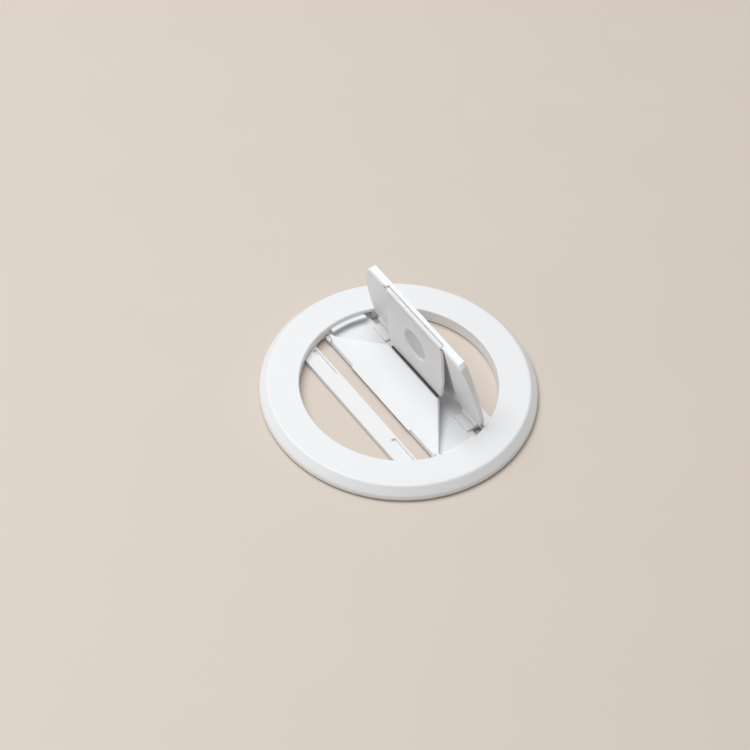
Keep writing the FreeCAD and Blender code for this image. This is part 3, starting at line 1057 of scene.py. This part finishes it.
class HOLDER_OT_fittings(bpy.types.Operator):
    """Give the pad, magnets, shield and pins their finishes."""

    bl_idname = "holder.fittings"
    bl_label = "Fittings"

    def execute(self, context):
        slots = {part["node"]: part["material_slot"] for part in RECORD["subparts"]}
        for name, node in frame["nodes"].items():
            node.data.materials.clear()
            node.data.materials.append(holder_finish(slots[name]))
        return {"FINISHED"}


class HOLDER_OT_stage(bpy.types.Operator):
    """Lay the floor, hang the lamps and set the camera."""

    bl_idname = "holder.stage"
    bl_label = "Stage"

    def execute(self, context):
        stage = context.scene.holder_stage
        context.scene.view_settings.view_transform = "Standard"
        self.lay_floor(context, stage)
        self.hang_lamps(context, stage)
        self.set_camera(context, stage)
        return {"FINISHED"}

    def lay_floor(self, context, stage):
        """A plain floor under the ring."""
        shape = bmesh.new()
        bmesh.ops.create_grid(shape, x_segments=1, y_segments=1, size=stage.floor_half)
        mesh = bpy.data.meshes.new("floor")
        shape.to_mesh(mesh)
        shape.free()
        mesh.materials.append(floor_finish("floor_pale", stage.floor))
        floor = bpy.data.objects.new("floor", mesh)
        context.scene.collection.objects.link(floor)

    def hang_lamps(self, context, stage):
        """An even light from all round, with a large lamp above and a weak one at the left."""
        world = bpy.data.worlds.new("studio")
        world.use_nodes = True
        background = world.node_tree.nodes["Background"]
        background.inputs["Color"].default_value = (*stage.light, 1.0)
        background.inputs["Strength"].default_value = stage.sky
        context.scene.world = world
        self.hang_lamp(context, stage, "key", stage.key, stage.key_size, stage.key_place)
        self.hang_lamp(context, stage, "fill", stage.fill, stage.fill_size, stage.fill_place)

    def hang_lamp(self, context, stage, name, power, size, place):
        """A round soft lamp that faces the middle of the ring."""
        light = bpy.data.lights.new(name, "AREA")
        light.shape = "DISK"
        light.size = size
        light.color = stage.light
        light.energy = power
        lamp = bpy.data.objects.new(name, light)
        lamp.location = place
        lamp.rotation_euler = (-lamp.location).to_track_quat("-Z", "Y").to_euler()
        context.scene.collection.objects.link(lamp)

    def set_camera(self, context, stage):
        """The camera, placed and turned by its heading, pitch and roll."""
        lens = bpy.data.cameras.new("view")
        lens.lens = stage.lens
        lens.sensor_width = stage.sensor
        lens.clip_start = stage.near
        camera = bpy.data.objects.new("view", lens)
        turn = Matrix.Rotation(-stage.heading, 4, "Z")
        tilt = Matrix.Rotation(math.pi / 2 - stage.pitch, 4, "X")
        roll = Matrix.Rotation(stage.roll, 4, "Z")
        camera.matrix_world = Matrix.Translation(stage.place) @ turn @ tilt @ roll
        context.scene.collection.objects.link(camera)
        context.scene.camera = camera


class HOLDER_PT_panel(bpy.types.Panel):
    """The holder's tab in the sidebar."""

    bl_idname = "HOLDER_PT_panel"
    bl_label = "Phone holder"
    bl_space_type = "VIEW_3D"
    bl_region_type = "UI"
    bl_category = "Holder"

    def draw(self, context):
        for operator in OPERATORS:
            self.layout.operator(operator.bl_idname)
        for name in GROUPS:
            box = self.layout.box()
            group = getattr(context.scene, name)
            for key in group.__annotations__:
                box.prop(group, key)


OPERATORS = (
    HOLDER_OT_fittings, HOLDER_OT_ring, HOLDER_OT_base, HOLDER_OT_flap, HOLDER_OT_stay, HOLDER_OT_stage,
)
GROUPS = {
    "holder_ring": RingSizes,
    "holder_base": BaseSizes,
    "holder_flap": FlapSizes,
    "holder_stay": StaySizes,
    "holder_colours": HolderColours,
    "holder_stage": StageSettings,
}


def register():
    """Register the classes and hang the settings on the scene."""
    for kind in (*GROUPS.values(), *OPERATORS, HOLDER_PT_panel):
        bpy.utils.register_class(kind)
    for name, kind in GROUPS.items():
        setattr(bpy.types.Scene, name, PointerProperty(type=kind))


def unregister():
    """Take the settings and the classes away again."""
    for name in GROUPS:
        delattr(bpy.types.Scene, name)
    for kind in reversed((*GROUPS.values(), *OPERATORS, HOLDER_PT_panel)):
        bpy.utils.unregister_class(kind)


def main():
    """Build everything round the frame."""
    register()
    bpy.ops.holder.fittings()
    bpy.ops.holder.ring()
    bpy.ops.holder.base()
    bpy.ops.holder.flap()
    bpy.ops.holder.stay()
    bpy.ops.holder.stage()


if __name__ == "__main__":
    main()
